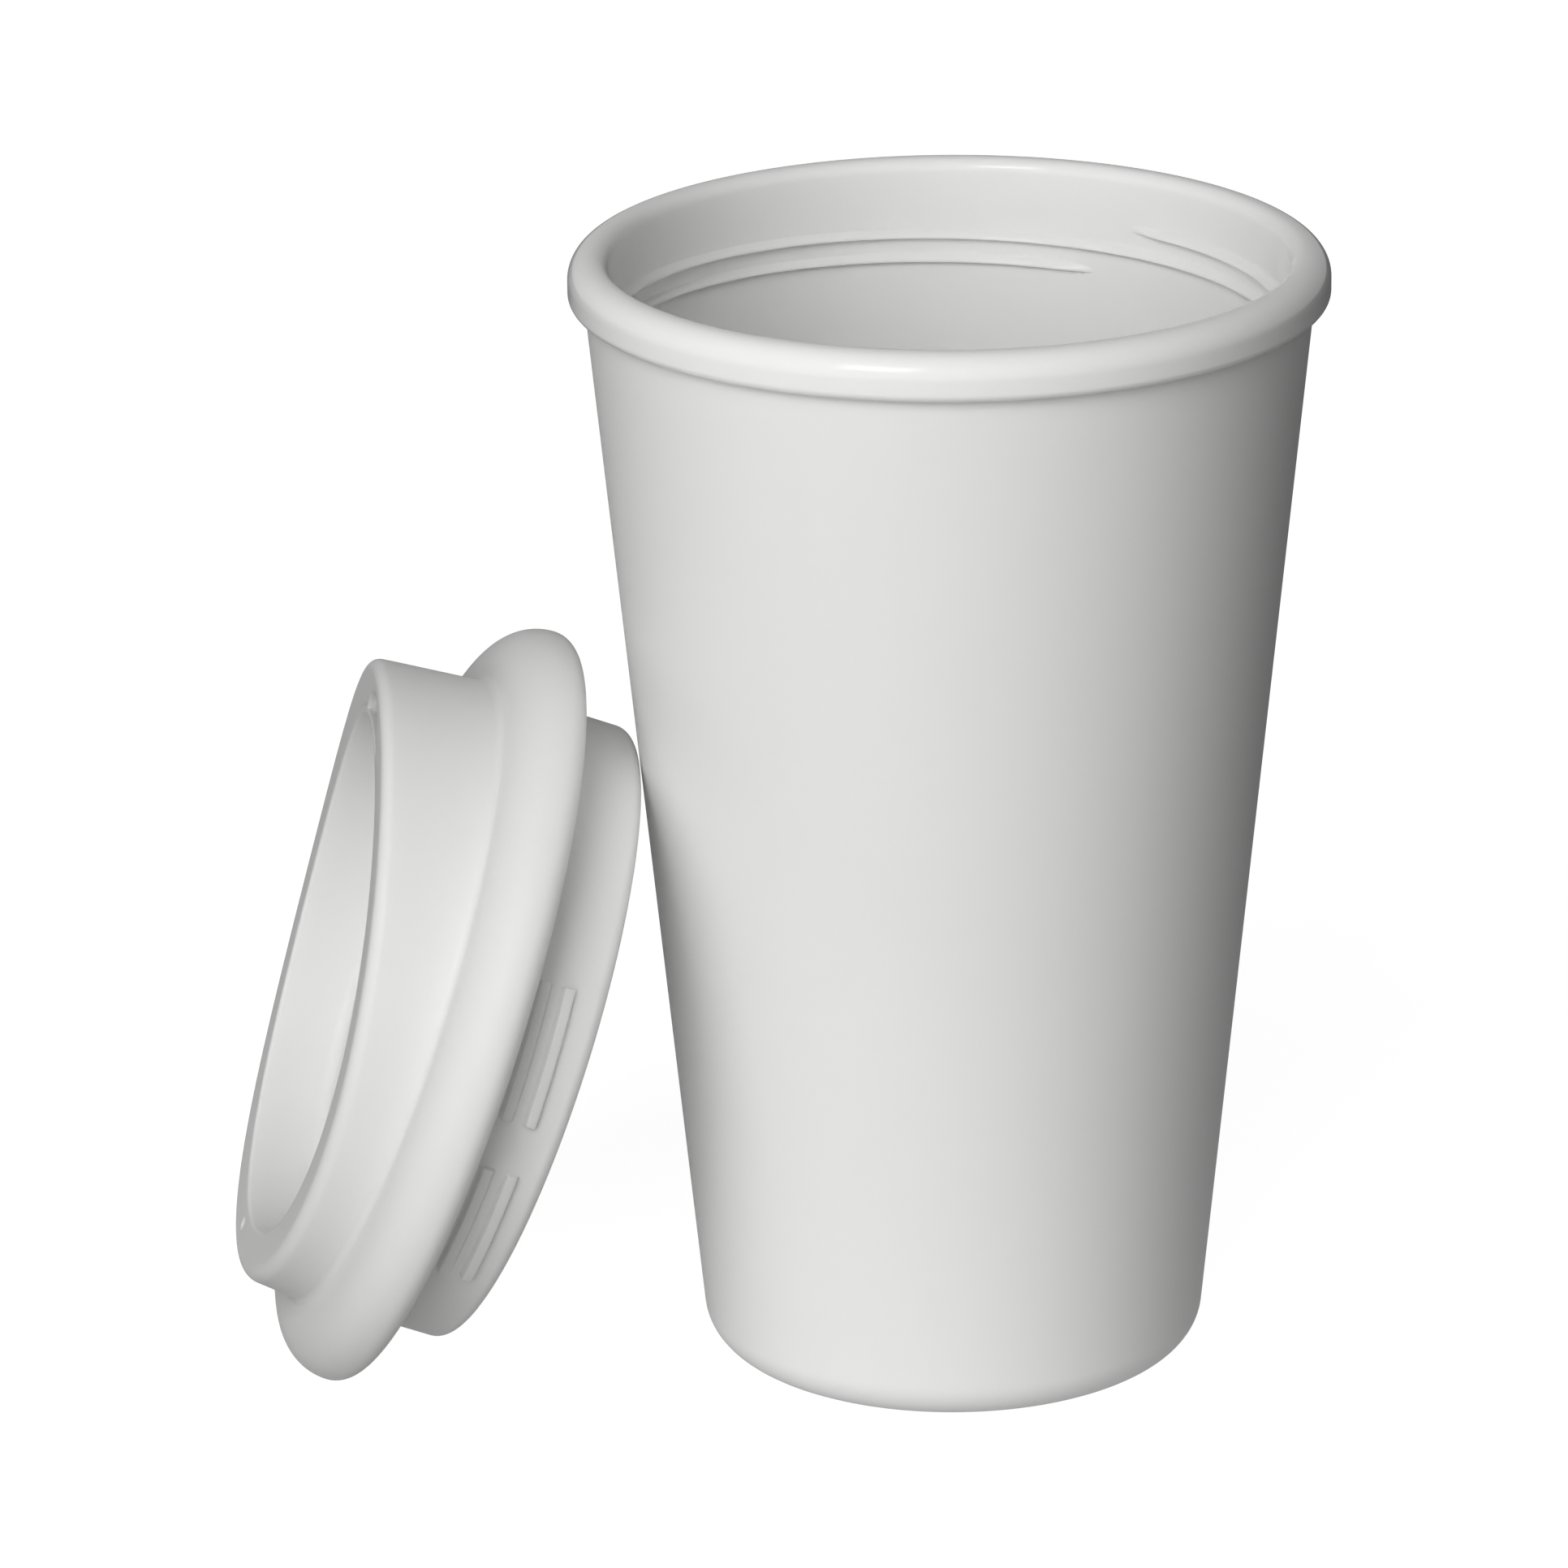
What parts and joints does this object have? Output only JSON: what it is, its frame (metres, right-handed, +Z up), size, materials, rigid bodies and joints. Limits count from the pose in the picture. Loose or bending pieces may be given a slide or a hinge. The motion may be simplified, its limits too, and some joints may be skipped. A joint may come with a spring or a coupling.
{
  "type": "lidded travel cup",
  "caption": "Tapered double-walled plastic cup with a rounded rim and inner screw thread, its drinking lid taken off and leaning on the wall.",
  "frame": {"origin": "middle of the cup's base, on the table", "axes": "+Z up along the cup's axis, -Y toward the viewer, the lid leans on the -X side"},
  "size_m": [0.136, 0.0981, 0.1405],
  "materials": {
    "shell": "white polypropylene, fine satin",
    "liner": "white polypropylene, smooth semi-gloss",
    "lid": "white polypropylene, smooth semi-gloss"
  },
  "bodies": {
    "root": {"outer_shell": "shell", "inner_liner": "liner", "lid": "lid"}
  },
  "joints": []
}
